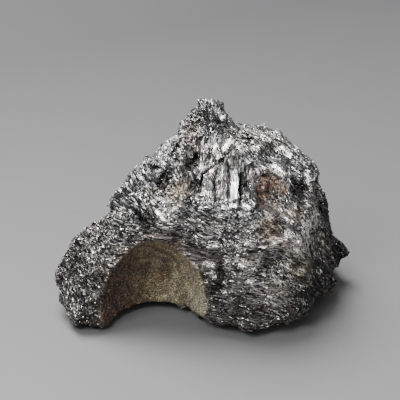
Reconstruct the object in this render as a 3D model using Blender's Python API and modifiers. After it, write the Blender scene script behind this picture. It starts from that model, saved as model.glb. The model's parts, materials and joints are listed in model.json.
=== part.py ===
"""Raw nuummite: one broken stone of bladed crystal, with a smooth weathered hollow in its front.

The stone is roughed out as a few overlapping blocks, each the convex hull of its corners. They are
joined under one even skin, and the skin is moved in and out by the bundles of crystal blades and by
the ledges, gullies and pockets that the stone broke along. A smooth cutter makes the hollow, and the
stone is cut flat where it rests. The hollow's side is the front, which faces -Y.

The lengths in the tables are in millimetres, before the stone is centred on its own box.
"""

from dataclasses import dataclass
from functools import partial

import bmesh
import bpy
import numpy as np
from mathutils import Matrix, Vector, noise

MM = 0.001

# Each block's corners. The lowest corners are set in from the ones above them, so the stone stands
# on less than its full outline.
BLOCKS = {
    "body": [
        (4.6, -3.4, 36.4), (8.5, -4.4, 35.7), (16.4, -0.8, 32.7), (20.0, -1.4, 30.2), (22.9, -2.0, 26.2),
        (23.2, -1.0, 20.6), (26.2, -4.5, 14.2), (26.6, -4.6, 5.0), (26.9, -11.2, 3.0), (22.3, -15.4, 3.2),
        (20.0, -20.2, 3.2), (12.0, -22.6, 2.6), (9.6, -23.4, 2.8), (6.8, -22.6, 3.0), (2.0, -20.6, 3.4),
        (2.9, -17.8, 15.0), (20.2, -16.6, 12.0), (18.5, -15.4, 18.0), (10.4, -19.2, 18.0),
        (-12.0, -13.0, 13.0), (-3.8, -11.5, 27.0),
        (24.0, 7.0, 4.0), (8.0, 15.8, 3.0), (-9.0, 12.5, 3.0), (18.0, 10.5, 20.0), (3.0, 11.5, 27.0),
        (-7.0, 7.0, 23.0), (15.0, 4.0, 31.0),
        (22.0, -7.0, -0.8), (15.0, -17.0, -0.8), (6.0, -18.5, -0.8), (1.0, -14.0, -0.8),
        (20.0, 6.0, -0.8), (8.0, 12.5, -0.8), (-8.0, 9.5, -0.8),
    ],
    "arm": [
        (-28.4, -11.2, 7.6), (-25.1, -9.6, 12.8), (-19.6, -7.8, 17.8), (-11.7, -7.4, 22.8), (-6.7, -5.6, 32.6),
        (-2.6, -1.8, 37.6), (-28.0, -14.8, 4.0), (-24.6, -21.0, 2.2), (-20.4, -21.4, 2.0), (-17.4, -20.6, 2.2),
        (-19.4, -18.0, 7.0), (-14.5, -15.4, 15.0), (-6.0, -16.2, 18.5), (-3.0, -13.4, 26.0), (3.0, -13.0, 4.0),
        (-26.0, -4.5, 4.0), (-14.0, 8.0, 3.0), (-13.5, 1.5, 18.0), (-2.0, 4.0, 30.0),
        (-25.0, -14.5, -0.8), (-22.0, -18.5, -0.8), (-18.5, -18.0, -0.8), (-22.5, -5.0, -0.8),
        (-12.0, 6.0, -0.8), (2.0, -10.0, -0.8),
    ],
    "peak": [
        (1.2, 0.4, 40.6), (0.0, 0.2, 39.8), (3.4, 0.2, 40.5), (-4.8, -4.8, 34.2), (5.0, -2.6, 37.0),
        (3.0, -8.5, 32.0), (0.2, 3.6, 37.8), (3.2, 3.8, 37.2), (-4.0, 6.0, 30.0), (7.5, 6.0, 31.0),
    ],
    "knob": [
        (30.3, -3.0, 5.8), (28.7, -2.6, 8.8), (25.6, -2.6, 11.9), (28.0, -5.0, 3.6), (26.0, 2.0, 4.0), (21.0, -5.0, 12.0),
        (18.0, 2.0, 3.0), (22.0, 4.0, 12.0), (22.0, -8.0, 6.0),
    ],
}

# The smooth hollow is cut by an egg shape that reaches in from the front. A flatter one lifts the
# hollow's lower edge off the ground in an arch.
HOLLOW_CENTRE = (-9.2, -26.6, 9.0)
HOLLOW_RADII = (11.4, 13.5, 16.6)
ARCH_CENTRE = (-6.6, -18.2, 0.2)
ARCH_RADII = (12.2, 7.6, 2.5)
EGG_SEGMENTS = 64

# The way the crystal blades run in each part of the stone: a place, and a direction.
FABRIC = [
    ((4.0, -10.0, 29.0), (0.05, -0.70, -0.72)), ((16.0, -8.0, 28.0), (0.72, -0.42, -0.55)),
    ((-14.0, -9.0, 22.0), (0.85, 0.25, 0.35)), ((-24.0, -12.0, 8.0), (0.45, 0.20, 0.85)),
    ((0.0, -1.0, 38.0), (0.55, -0.30, -0.75)), ((10.0, -18.0, 8.0), (0.98, 0.05, -0.14)),
    ((2.0, -15.0, 20.0), (0.93, -0.20, -0.28)), ((25.0, -4.0, 10.0), (0.25, 0.55, -0.80)),
    ((4.0, 10.0, 15.0), (0.80, 0.35, 0.50)),
]

# The single forms: a centre, the way the form runs, its half length, its half width, and how far it
# stands proud of the skin, or is sunk in it where the last number is below zero.
MARKS = {
    "crack_down_the_arm": ((-6.2, -9.2, 30.0), (-0.43, -0.27, -0.86), 4.6, 1.0, -1.5),
    "block_on_the_arm": ((-9.0, -6.6, 31.4), (-0.60, -0.20, -0.77), 2.6, 1.7, 0.3),
    "gully_over_the_hollow": ((-11.2, -12.8, 22.2), (0.80, -0.15, -0.55), 4.8, 1.8, -1.4),
    "gully_by_the_plates": ((-1.4, -9.6, 30.4), (0.00, -0.64, -0.77), 5.2, 1.2, -1.3),
    "plates": ((3.6, -10.2, 30.6), (0.03, -0.66, -0.75), 6.6, 3.4, 0.8),
    "brown_pocket": ((13.4, -10.6, 26.3), (0.30, -0.60, -0.70), 3.4, 2.6, -1.7),
    "brow_over_the_pocket": ((15.2, -7.0, 29.2), (0.74, -0.40, -0.54), 3.4, 1.3, 0.9),
    "brow_end": ((11.4, -7.6, 30.4), (0.74, -0.40, -0.54), 1.8, 1.3, 0.7),
    "dark_pocket": ((19.8, -8.2, 24.6), (0.20, -0.50, -0.80), 2.6, 1.9, -1.8),
    "shoulder_lump": ((21.8, -3.8, 26.4), (0.30, -0.60, -0.70), 2.4, 2.0, 0.7),
    "right_lump": ((21.2, -9.8, 20.2), (0.20, -0.40, -0.90), 3.2, 2.2, 0.8),
    "ledge": ((12.2, -17.2, 18.6), (0.99, 0.08, -0.06), 5.6, 1.3, 0.8),
    "crease_under_the_ledge": ((12.4, -18.4, 15.9), (0.99, 0.08, -0.06), 5.0, 1.0, -1.2),
    "slot": ((4.0, -18.0, 12.4), (0.05, -0.05, -1.00), 3.8, 0.9, -1.3),
    "wedge": ((18.0, -17.0, 12.8), (0.62, 0.12, -0.77), 2.8, 1.3, 0.9),
    "back_ledge": ((6.0, 14.0, 13.0), (0.97, 0.10, 0.22), 10.0, 2.4, 1.2),
    "back_scar": ((-9.0, 8.5, 17.0), (0.55, 0.30, -0.78), 6.5, 3.6, -1.6),
    "back_block": ((12.0, 9.5, 24.0), (0.60, -0.50, 0.62), 5.0, 3.0, 1.3),
    "back_gully": ((2.0, 12.0, 21.0), (0.30, -0.45, 0.84), 6.0, 1.5, -1.4),
    "side_step": ((25.5, 1.0, 13.0), (0.10, 0.60, -0.79), 5.5, 2.4, -1.3),
    "arm_back_ledge": ((-20.0, -1.0, 9.0), (0.75, 0.50, 0.42), 6.0, 1.8, 1.2),
}
MARK_EDGE = (0.7, 1.25)  # where a form starts to fade and where it ends, in its own half sizes


@dataclass(frozen=True)
class Blades:
    """One size of crystal blade: its length and width, how far blades step and slope, their bundles."""

    length: float
    width: float
    step: float
    slope: float
    bundle: float
    seed: int


BLADES = (
    Blades(length=9.0, width=5.0, step=0.9, slope=1.0, bundle=12.0, seed=11),
    Blades(length=6.0, width=2.4, step=0.55, slope=0.5, bundle=8.0, seed=21),
)
BUNDLE_SPREAD = 0.9  # how far a bundle turns away from the fabric around it, 0 for not at all
CELL_TABLE = 24  # scattered cells along each side before their places repeat

LUMP_SIZE = 9.0
LUMP_RISE = 0.6
LUMP_OCTAVES = 3
LUMP_ROUGHNESS = 0.8
LUMP_STEP = 2.1

REST_HEIGHT = 0.5  # the height of the flat cut that the stone rests on
GROUND_SIZE = 100.0
SKIN_GRID = 0.55
BROKEN_SKIN_GRID = 0.42
SKIN_TRIANGLES = 8800

COLOUR = (0.055, 0.056, 0.060, 1.0)
METALLIC = 0.55
ROUGHNESS = 0.38


def new_object(name, mesh, collection):
    """An object that holds the mesh, in the collection."""
    obj = bpy.data.objects.new(name, mesh)
    collection.objects.link(obj)
    return obj


def mark_as_helper(obj):
    """Keeps a block or a cutter out of the finished part."""
    obj.hide_render = True
    obj.display_type = "WIRE"


def block_mesh(name, corners):
    """The convex block through the corners."""
    bm = bmesh.new()
    for corner in corners:
        bm.verts.new(Vector(corner) * MM)
    bmesh.ops.convex_hull(bm, input=bm.verts)
    inner = [vert for vert in bm.verts if not vert.link_faces]
    bmesh.ops.delete(bm, geom=inner, context="VERTS")
    mesh = bpy.data.meshes.new(name)
    bm.to_mesh(mesh)
    bm.free()
    return mesh


def cutter_mesh(name, make, centre, size):
    """The mesh that a bmesh operator makes, scaled by size and moved to centre."""
    place = Matrix.Translation(Vector(centre) * MM) @ Matrix.Diagonal((*(Vector(size) * MM), 1.0))
    bm = bmesh.new()
    make(bm, matrix=place)
    mesh = bpy.data.meshes.new(name)
    bm.to_mesh(mesh)
    bm.free()
    return mesh


def egg_mesh(name, centre, radii):
    """An egg shape that cuts the hollow, or the arch under its edge."""
    ball = partial(
        bmesh.ops.create_uvsphere,
        u_segments=EGG_SEGMENTS,
        v_segments=EGG_SEGMENTS // 2,
        radius=1.0,
    )
    return cutter_mesh(name, ball, centre, radii)


def ground_mesh():
    """The block that cuts the underside flat."""
    cube = partial(bmesh.ops.create_cube, size=1.0)
    centre = (0.0, 0.0, REST_HEIGHT - GROUND_SIZE / 2)
    return cutter_mesh("ground_cutter", cube, centre, (GROUND_SIZE, GROUND_SIZE, GROUND_SIZE))


def apply_modifiers(obj):
    """Puts the evaluated mesh in place of the object's own."""
    bpy.context.view_layer.update()
    graph = bpy.context.evaluated_depsgraph_get()
    mesh = bpy.data.meshes.new_from_object(obj.evaluated_get(graph))
    obj.modifiers.clear()
    obj.data = mesh


def join(stone, other):
    """Joins another block to the stone."""
    union = stone.modifiers.new("join_" + other.name, "BOOLEAN")
    union.operation = "UNION"
    union.object = other


def reskin(stone, grid):
    """Gives the stone one closed skin of even faces."""
    skin = stone.modifiers.new("skin", "REMESH")
    skin.mode = "VOXEL"
    skin.voxel_size = grid * MM
    apply_modifiers(stone)


def nearest_cells(points, seed):
    """For each point, the nearest scattered cell centre: the offset from it, and four random numbers."""
    table = np.random.default_rng(seed).random((CELL_TABLE, CELL_TABLE, CELL_TABLE, 7))
    base = np.floor(points).astype(int)
    nearest = np.full(len(points), np.inf)
    offset = np.zeros_like(points)
    drawn = np.zeros((len(points), 4))
    for step in np.ndindex(3, 3, 3):
        cell = base + np.array(step) - 1
        values = table[tuple((cell % CELL_TABLE).T)]
        away = points - cell - values[:, :3]
        distance = (away**2).sum(1)
        closer = distance < nearest
        nearest[closer] = distance[closer]
        offset[closer] = away[closer]
        drawn[closer] = values[closer, 3:]
    return offset, drawn


def bundle_axes(points, blades):
    """Three axes for each point, the first along the blades of its bundle."""
    offset, drawn = nearest_cells(points / blades.bundle, blades.seed)
    centres = points - offset * blades.bundle
    places = np.array([place for place, _ in FABRIC])
    ways = np.array([way for _, way in FABRIC])
    zone = np.linalg.norm(centres[:, None] - places, axis=2).argmin(1)
    along = ways[zone] + BUNDLE_SPREAD * (drawn[:, :3] - 0.5)
    along /= np.linalg.norm(along, axis=1)[:, None]
    across = np.cross(along, drawn[:, 1:] - 0.5)
    across /= np.linalg.norm(across, axis=1)[:, None]
    return along, across, np.cross(along, across)


def blade_rise(points, blades):
    """How far each point stands proud, as the blades of its bundle step and slope."""
    sizes = (blades.length, blades.width, blades.width)
    axes = bundle_axes(points, blades)
    local = np.stack([(points * axis).sum(1) / size for axis, size in zip(axes, sizes)], axis=1)
    offset, drawn = nearest_cells(local, blades.seed + 1)
    tilt = (offset * (2.0 * drawn[:, 1:] - 1.0)).sum(1)
    return blades.step * (drawn[:, 0] - 0.5) + blades.slope * tilt


def mark_rise(points):
    """How far each point stands proud through the single forms."""
    fade_start, fade_end = MARK_EDGE
    rise = np.zeros(len(points))
    for centre, way, length, width, height in MARKS.values():
        away = points - centre
        along = away @ (np.array(way) / np.linalg.norm(way))
        across = np.sqrt(np.maximum((away**2).sum(1) - along**2, 0.0))
        distance = np.hypot(along / length, across / width)
        inside = np.clip((fade_end - distance) / (fade_end - fade_start), 0.0, 1.0)
        rise += height * inside * inside * (3.0 - 2.0 * inside)
    return rise


def lump_rise(points):
    """How far each point stands proud through the stone's broad unevenness."""
    swell = [noise.fractal(Vector(p) / LUMP_SIZE, LUMP_ROUGHNESS, LUMP_STEP, LUMP_OCTAVES) for p in points]
    return LUMP_RISE * np.array(swell)


def break_skin(stone):
    """Moves the skin in and out into lumps, single forms and bundles of blades."""
    vertices = stone.data.vertices
    points = np.empty(len(vertices) * 3)
    vertices.foreach_get("co", points)
    points = points.reshape(-1, 3)
    normals = np.array([vertex.normal for vertex in vertices])
    places = points / MM
    rise = lump_rise(places) + mark_rise(places) + sum(blade_rise(places, blades) for blades in BLADES)
    points += normals * rise[:, None] * MM
    vertices.foreach_set("co", points.ravel())
    stone.data.update()


def piece_around(start):
    """The vertices joined to this one by edges."""
    found = {start}
    front = [start]
    while front:
        vertex = front.pop()
        for edge in vertex.link_edges:
            other = edge.other_vert(vertex)
            if other not in found:
                found.add(other)
                front.append(other)
    return found


def keep_outer_skin(stone):
    """Drops any small bubble or crumb that the broken skin closed off."""
    bm = bmesh.new()
    bm.from_mesh(stone.data)
    left = set(bm.verts)
    pieces = []
    while left:
        pieces.append(piece_around(next(iter(left))))
        left -= pieces[-1]
    outer = max(pieces, key=len)
    bmesh.ops.delete(bm, geom=[vertex for vertex in bm.verts if vertex not in outer], context="VERTS")
    bm.to_mesh(stone.data)
    bm.free()


def thin_skin(stone):
    """Leaves the flat facets and breaks of the skin, with fewer faces between them."""
    fewer = stone.modifiers.new("fewer_faces", "DECIMATE")
    fewer.ratio = SKIN_TRIANGLES / (2 * len(stone.data.polygons))
    apply_modifiers(stone)


def cut(stone, cutter):
    """Cuts the cutter's shape out of the stone."""
    mark_as_helper(cutter)
    difference = stone.modifiers.new(cutter.name, "BOOLEAN")
    difference.operation = "DIFFERENCE"
    difference.object = cutter
    difference.solver = "MANIFOLD"
    apply_modifiers(stone)


def centre_on_base(stone):
    """Puts the origin on the flat underside, under the middle of the stone's box."""
    corners = np.array([vertex.co for vertex in stone.data.vertices])
    low, high = corners.min(0), corners.max(0)
    middle = (low + high) / 2
    stone.data.transform(Matrix.Translation((-middle[0], -middle[1], -low[2])))


def stone_material():
    """Dark metallic crystal."""
    material = bpy.data.materials.new("nuummite")
    material.use_nodes = True
    surface = material.node_tree.nodes["Principled BSDF"].inputs
    surface["Base Color"].default_value = COLOUR
    surface["Metallic"].default_value = METALLIC
    surface["Roughness"].default_value = ROUGHNESS
    return material


def main():
    for obj in list(bpy.data.objects):
        bpy.data.objects.remove(obj)
    shown = bpy.data.collections.new("raw_nuummite")
    helpers = bpy.data.collections.new("cutters")
    for collection in (shown, helpers):
        bpy.context.scene.collection.children.link(collection)

    stone = new_object("nuummite_stone", block_mesh("nuummite_stone", BLOCKS["body"]), shown)
    for name in ("arm", "peak", "knob"):
        block = new_object(name, block_mesh(name, BLOCKS[name]), helpers)
        mark_as_helper(block)
        join(stone, block)
    reskin(stone, SKIN_GRID)
    break_skin(stone)
    reskin(stone, BROKEN_SKIN_GRID)
    keep_outer_skin(stone)
    thin_skin(stone)

    hollow = egg_mesh("hollow_cutter", HOLLOW_CENTRE, HOLLOW_RADII)
    cut(stone, new_object("hollow_cutter", hollow, helpers))
    arch = egg_mesh("arch_cutter", ARCH_CENTRE, ARCH_RADII)
    cut(stone, new_object("arch_cutter", arch, helpers))
    cut(stone, new_object("ground_cutter", ground_mesh(), helpers))
    centre_on_base(stone)
    stone.data.materials.append(stone_material())


main()
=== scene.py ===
"""Looks of the raw nuummite: a stone of silvery-black crystal blades with a smooth olive hollow.

The stone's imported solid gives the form. A finer skin is grown from a copy of it, broken into blades,
fibres and cracks, and crops of single crystal blades are set on the skin by Geometry Nodes. Places
are in millimetres in the part's own frame: +X right, -Y out of the front, +Z up, ground at zero.
"""

import json
import logging
import math
from dataclasses import dataclass
from enum import Enum
from functools import reduce

import bmesh
import bpy
import numpy as np
from bpy.types import Material, Mesh, Node, NodeSocket, NodeTree, Object
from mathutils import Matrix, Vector

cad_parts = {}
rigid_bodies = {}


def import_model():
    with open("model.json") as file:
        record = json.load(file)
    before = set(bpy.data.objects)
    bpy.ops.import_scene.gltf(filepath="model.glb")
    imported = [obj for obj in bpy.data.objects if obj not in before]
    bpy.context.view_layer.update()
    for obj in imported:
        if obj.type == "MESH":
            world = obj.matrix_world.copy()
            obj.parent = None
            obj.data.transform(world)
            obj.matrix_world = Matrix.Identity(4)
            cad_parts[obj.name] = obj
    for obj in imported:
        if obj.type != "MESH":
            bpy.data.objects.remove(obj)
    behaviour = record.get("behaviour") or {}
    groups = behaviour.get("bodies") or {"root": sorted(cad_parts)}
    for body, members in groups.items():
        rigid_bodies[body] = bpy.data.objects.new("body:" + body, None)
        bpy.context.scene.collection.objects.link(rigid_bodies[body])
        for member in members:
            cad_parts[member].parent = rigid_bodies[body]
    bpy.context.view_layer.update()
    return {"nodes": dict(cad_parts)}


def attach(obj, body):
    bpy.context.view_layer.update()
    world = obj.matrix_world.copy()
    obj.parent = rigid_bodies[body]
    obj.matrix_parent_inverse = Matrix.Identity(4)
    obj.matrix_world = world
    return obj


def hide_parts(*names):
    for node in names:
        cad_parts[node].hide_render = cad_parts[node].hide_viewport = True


MM = 0.001
STONE = "nuummite_stone"
CELL_TABLE = 32  # scattered cells along each side before their places repeat
NOISE_TABLE = 64  # noise values along each side before they repeat
FACE_SHINE = 0.8  # a mark brighter than this is one even crystal face
PATCH_EDGE = (1.25, 0.45)  # where a patch starts and where it is full, in its own radii
STAIN_DULLS = 0.8  # how much of the metal sheen a full stain takes away

Array = np.ndarray
Point = tuple[float, float, float]
Colour = tuple[float, float, float]
Span = tuple[float, float]

log = logging.getLogger("nuummite")


# ---- small helpers


def smooth_step(low: float, high: float, value: Array) -> Array:
    """Rise smoothly from 0 at low to 1 at high; with high below low, the curve falls instead."""
    share = np.clip((value - low) / (high - low), 0.0, 1.0)
    return share * share * (3.0 - 2.0 * share)


def unit(vectors: Array) -> Array:
    """Scale each row to length one."""
    return vectors / np.maximum(np.linalg.norm(vectors, axis=-1, keepdims=True), 1e-9)


def nearest_cells(points: Array, seed: int) -> tuple[Array, Array]:
    """Find the nearest scattered cell centre, on a grid of cells one unit across.

    Args:
        points: Places, in cells.
        seed: Which scatter to use.

    Returns:
        The offset of each point from its cell's centre, and four random numbers of that cell.
    """
    table = np.random.default_rng(seed).random((CELL_TABLE, CELL_TABLE, CELL_TABLE, 7), dtype=np.float32)
    base = np.floor(points).astype(int)
    nearest = np.full(len(points), np.inf)
    offset = np.zeros((len(points), 3))
    drawn = np.zeros((len(points), 4))
    for step in np.ndindex(3, 3, 3):
        cell = base + np.array(step) - 1
        values = table[tuple((cell % CELL_TABLE).T)]
        away = points - cell - values[:, :3]
        distance = (away**2).sum(1)
        closer = distance < nearest
        nearest[closer] = distance[closer]
        offset[closer] = away[closer]
        drawn[closer] = values[closer, 3:]
    return offset, drawn


def soft_noise(points: Array, seed: int) -> Array:
    """Give smooth random values from 0 to 1, one unit across.

    Args:
        points: Places, in units of the noise's size.
        seed: Which noise to use.

    Returns:
        The noise at each point.
    """
    table = np.random.default_rng(seed).random((NOISE_TABLE, NOISE_TABLE, NOISE_TABLE), dtype=np.float32)
    base = np.floor(points).astype(int)
    share = points - base
    share = share * share * (3.0 - 2.0 * share)
    total = np.zeros(len(points))
    for corner in np.ndindex(2, 2, 2):
        weight = np.prod(np.where(np.array(corner) == 1, share, 1.0 - share), axis=1)
        total += weight * table[tuple(((base + np.array(corner)) % NOISE_TABLE).T)]
    return total


def read(items: bpy.types.bpy_prop_collection, name: str, width: int = 1, kind: type = float) -> Array:
    """Read one property of a mesh's vertices, corners or faces.

    Args:
        items: The vertices, corners or faces.
        name: The property.
        width: How many numbers it has.
        kind: The numbers' type.

    Returns:
        A number, or a row of numbers, for each item.
    """
    values = np.empty(len(items) * width, kind)
    items.foreach_get(name, values)
    return values.reshape(-1, width) if width > 1 else values


def write(mesh: Mesh, **attributes: Array) -> None:
    """Write attributes on the mesh's points or face corners.

    Args:
        mesh: The mesh.
        attributes: For each name, a number, vector or colour for each point or corner.
    """
    kinds = {1: ("FLOAT", "value"), 3: ("FLOAT_VECTOR", "vector"), 4: ("FLOAT_COLOR", "color")}
    for name, rows in attributes.items():
        kind, key = kinds[rows.size // len(rows)]
        domain = "POINT" if len(rows) == len(mesh.vertices) else "CORNER"
        attribute = mesh.attributes.new(name, kind, domain)
        attribute.data.foreach_set(key, np.asarray(rows, np.float32).ravel())


def new_object(name: str, data: bpy.types.ID) -> Object:
    """Make an object in the scene that holds the data.

    Args:
        name: The object's name.
        data: Its mesh, camera or light.

    Returns:
        The object.
    """
    obj = bpy.data.objects.new(name, data)
    bpy.context.scene.collection.objects.link(obj)
    return obj


def plain_mesh(obj: Object) -> None:
    """Put the object's evaluated mesh in place of its own, and take its modifiers off.

    Args:
        obj: The object.
    """
    bpy.context.view_layer.update()
    graph = bpy.context.evaluated_depsgraph_get()
    final = obj.evaluated_get(graph)
    mesh = bpy.data.meshes.new_from_object(final, preserve_all_data_layers=True, depsgraph=graph)
    obj.modifiers.clear()
    obj.data = mesh


# ---- the stone's fabric


@dataclass(frozen=True)
class Zone:
    """One part of the stone's crystal fabric: the way its blades run, and how long and wide they are.

    Spread is how far its bundles turn away from that way, 0 for not at all. Shine is 1 for usual, and is
    partly the crystal's own tone and partly painted light and shade, lowest as painted shade on the right
    side. Tilt is the way its crystal faces lean out of the skin.
    """

    place: Point
    way: Point
    length: float
    width: float
    spread: float
    shine: float
    tilt: Point = (0.0, 0.0, 0.0)


ZONES = {
    "peak": Zone((-0.9, 2.4, 37.5), (0.62, -0.44, -0.64), 1, 0.34, 1, 0.88),
    "upper_arm": Zone((-11.6, -4.8, 26), (0.57, -0.47, -0.67), 1.7, 0.4, 0.8, 0.85),
    "middle_arm": Zone((-16.6, -5.6, 19.5), (0.88, -0.27, -0.38), 1.6, 0.36, 0.8, 0.66),
    "lower_arm": Zone((-24.9, -8.6, 8.5), (0.64, -0.44, -0.63), 1, 0.33, 1, 0.56),
    "plates": Zone((3.6, -7, 28.5), (-0.02, -0.57, -0.82), 4.2, 0.46, 0.1, 1.05, (-0.15, 0.2, 0.3)),
    "by_the_plates": Zone((-3.6, -5.6, 30), (0.45, -0.5, -0.74), 1.3, 0.38, 1, 0.85),
    "over_the_hollow": Zone((-4.6, -10.4, 20.5), (0.92, -0.22, -0.32), 1.8, 0.34, 0.6, 0.9),
    "shoulder": Zone((15.1, -2.6, 30), (0.79, -0.35, -0.5), 2.6, 0.46, 0.45, 1.15, (-0.4, 0.15, 0.35)),
    "below_the_plates": Zone((5.4, -11.5, 22.5), (0.94, -0.2, -0.28), 1.5, 0.4, 0.9, 1, (-0.15, 0.25, 0.3)),
    "ledge": Zone((11.4, -13.9, 17.6), (1, 0, -0.06), 2.6, 0.34, 0.3, 0.95),
    "belly": Zone((9, -15.9, 9.5), (0.98, -0.1, -0.16), 2.6, 0.3, 0.25, 0.96),
    "belly_right": Zone((14.2, -16.4, 9.6), (0.9, -0.12, -0.42), 2.6, 0.32, 0.25, 1),
    "low_belly": Zone((8.4, -18, 4.5), (0.97, -0.14, -0.2), 2, 0.24, 0.4, 0.66),
    "fan": Zone((17, -13.9, 12), (0.82, -0.33, -0.47), 2.8, 0.38, 0.35, 1.25, (-0.2, 0, 0.15)),
    "pocket": Zone((12.8, -6.2, 24.5), (0.7, -0.4, -0.6), 1, 0.38, 0.9, 1.05, (-0.1, 0.2, 0.5)),
    "right_lump": Zone((19.4, -6.5, 21), (0.6, -0.45, -0.6), 1.4, 0.42, 1.1, 0.88, (-0.3, 0.2, 0.3)),
    # Painted shade: the low shine of this zone and of the right flank darkens the right side.
    "painted_shade_side": Zone((24.1, -1.6, 11), (0.25, 0.55, -0.8), 1.6, 0.45, 0.9, 0.24),
    "right_edge": Zone((18.9, -8.6, 16.6), (0.6, -0.45, -0.66), 1.6, 0.4, 0.8, 1.5, (-0.3, 0.2, 0.3)),
    "right_flank": Zone((20.6, -13.4, 8.2), (0.6, -0.3, -0.74), 1.5, 0.36, 0.8, 0.34),
    "back": Zone((3.1, 13.4, 14.5), (0.8, 0.35, 0.5), 2, 0.42, 0.7, 1),
    "back_shoulder": Zone((11.4, 9, 25), (0.62, -0.5, 0.6), 2.4, 0.45, 0.6, 1),
    "back_arm": Zone((-16.6, 3, 11), (0.75, 0.4, 0.52), 1.8, 0.4, 0.7, 1),
}


@dataclass(frozen=True)
class Fabric:
    """Which way the crystal blades run, all over the stone."""

    bundle: float = 4.6
    seed: int = 61
    zones: tuple[Zone, ...] = tuple(ZONES.values())

    def read(self, points: Array, name: str) -> Array:
        """Read the named field of the zone that each point lies in."""
        places, values = (np.array([getattr(zone, key) for zone in self.zones]) for key in ("place", name))
        return values[np.linalg.norm(points[:, None] - places, axis=2).argmin(1)]

    def bundles(self, points: Array) -> tuple[Array, list[Array], Array]:
        """Give each point the bundle of blades that it lies in.

        Args:
            points: Places on the stone.

        Returns:
            The bundle's middle, its three axes with the first along the blades, and random numbers.
        """
        offset, drawn = nearest_cells(points / self.bundle, self.seed)
        centres = points - offset * self.bundle
        spread = self.read(centres, "spread")[:, None]
        along = unit(self.read(centres, "way") + spread * (drawn[:, :3] - 0.5))
        across = unit(np.cross(along, drawn[:, 1:] - 0.5))
        return centres, [along, across, np.cross(along, across)], drawn


@dataclass(frozen=True)
class Hollow:
    """The smooth weathered hollow in the stone's front, part of an egg shape.

    Each span says where the wall's finish ends and where it is full: edge by how far the skin is off
    the egg, top by its height, and facing by how squarely it faces the egg's middle. Rim is the same as
    edge for the weathered rim around the wall, and loose for the crumbs on its left.
    """

    centre: Point = (-10.028, -23.163, 8.5)
    radii: Point = (11.4, 13.5, 16.6)
    edge: Span = (0.7, 0.25)
    rim: Span = (3.0, 0.3)
    top: Span = (18.0, 17.0)
    loose: Span = (-13.0, -18.0)
    facing: Span = (0.2, 0.7)

    def distance(self, points: Array) -> Array:
        """Give how far outside the egg shape each point is, below zero inside it.

        Args:
            points: Places on the stone.

        Returns:
            The distance at each point.
        """
        inner = (points - self.centre) / self.radii
        reach = np.linalg.norm(inner, axis=1)
        return (reach - 1.0) / np.linalg.norm(inner / self.radii, axis=1) * reach

    def mask(self, points: Array, normals: Array) -> Array:
        """Give 1 on the hollow's wall and 0 away from it.

        Args:
            points: Places on the stone.
            normals: The skin's normals there.

        Returns:
            The mask at each point.
        """
        inwards = -unit((points - self.centre) / np.square(self.radii))
        facing = (inwards * normals).sum(1)
        wander = soft_noise(points / 1.3, 75) - 0.5
        below = smooth_step(*self.top, points[:, 2] + 1.6 * wander)
        near = smooth_step(*self.edge, np.abs(self.distance(points)) + 0.3 * wander)
        crumbs = smooth_step(0.56, 0.68, soft_noise(points / 0.55, 76))
        whole = 1.0 - 0.9 * (smooth_step(*self.loose, points[:, 0]) * crumbs)
        return below * near * smooth_step(*self.facing, facing + 0.9 * wander) * whole


# ---- relief and patches


@dataclass(frozen=True)
class Blades:
    """Relief of blades that step against each other, each with a face that slopes."""

    length: float
    width: float
    step: float
    slope: float
    seed: int

    def rise(self, points: Array, axes: list[Array]) -> Array:
        """Give how far each point stands proud.

        Args:
            points: Places on the stone.
            axes: The axes of each point's bundle.

        Returns:
            The height at each point.
        """
        sizes = (self.length, self.width, self.width)
        local = np.stack([(points * axis).sum(1) / size for axis, size in zip(axes, sizes)], axis=1)
        offset, drawn = nearest_cells(local, self.seed)
        tilt = (offset * (2.0 * drawn[:, 1:] - 1.0)).sum(1)
        return self.step * (drawn[:, 0] - 0.5) + self.slope * tilt


@dataclass(frozen=True)
class Mark:
    """One single form in the skin: a crack, a gully, a ledge or a broad crystal face.

    Length and width are half sizes. A height below zero is sunk. Shine is 1 for usual; a sunk form's low
    shine is painted shade in its crack, and a bright face's high shine is partly painted highlight. With
    more than FACE_SHINE the form is one even crystal face.
    """

    centre: Point
    way: Point
    length: float
    width: float
    height: float
    shine: float

    @property
    def is_face(self) -> bool:
        """Whether the form is one even crystal face."""
        return self.shine > FACE_SHINE

    def share(self, points: Array, normals: Array, ragged: Array) -> Array:
        """Give 1 on the form and 0 away from it.

        Args:
            points: Places on the stone.
            normals: The skin's normals there.
            ragged: How far the form's edge wanders, from -1 to 1.

        Returns:
            The form's share at each point.
        """
        away = points - np.array(self.centre)
        way = np.array(self.way)
        along = unit(way - normals * (normals @ way)[:, None])
        across = np.cross(normals, along)
        side = (away * across).sum(1) / self.width
        ends = (away * along).sum(1) / self.length
        near = np.linalg.norm(away, axis=1) < 1.3 * self.length + 1.0
        if self.is_face:
            reach = np.maximum(np.abs(side) + 0.15 * ragged, np.abs(ends) + 0.2 * ragged)
            return near * smooth_step(1.12, 0.88, reach)
        return near * smooth_step(1.3, 0.5, np.hypot(ends, side + 0.8 * ragged))


# Sunk forms with low shine carry painted shade in their cracks; the bright faces' high shine is partly
# painted highlight.
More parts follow.
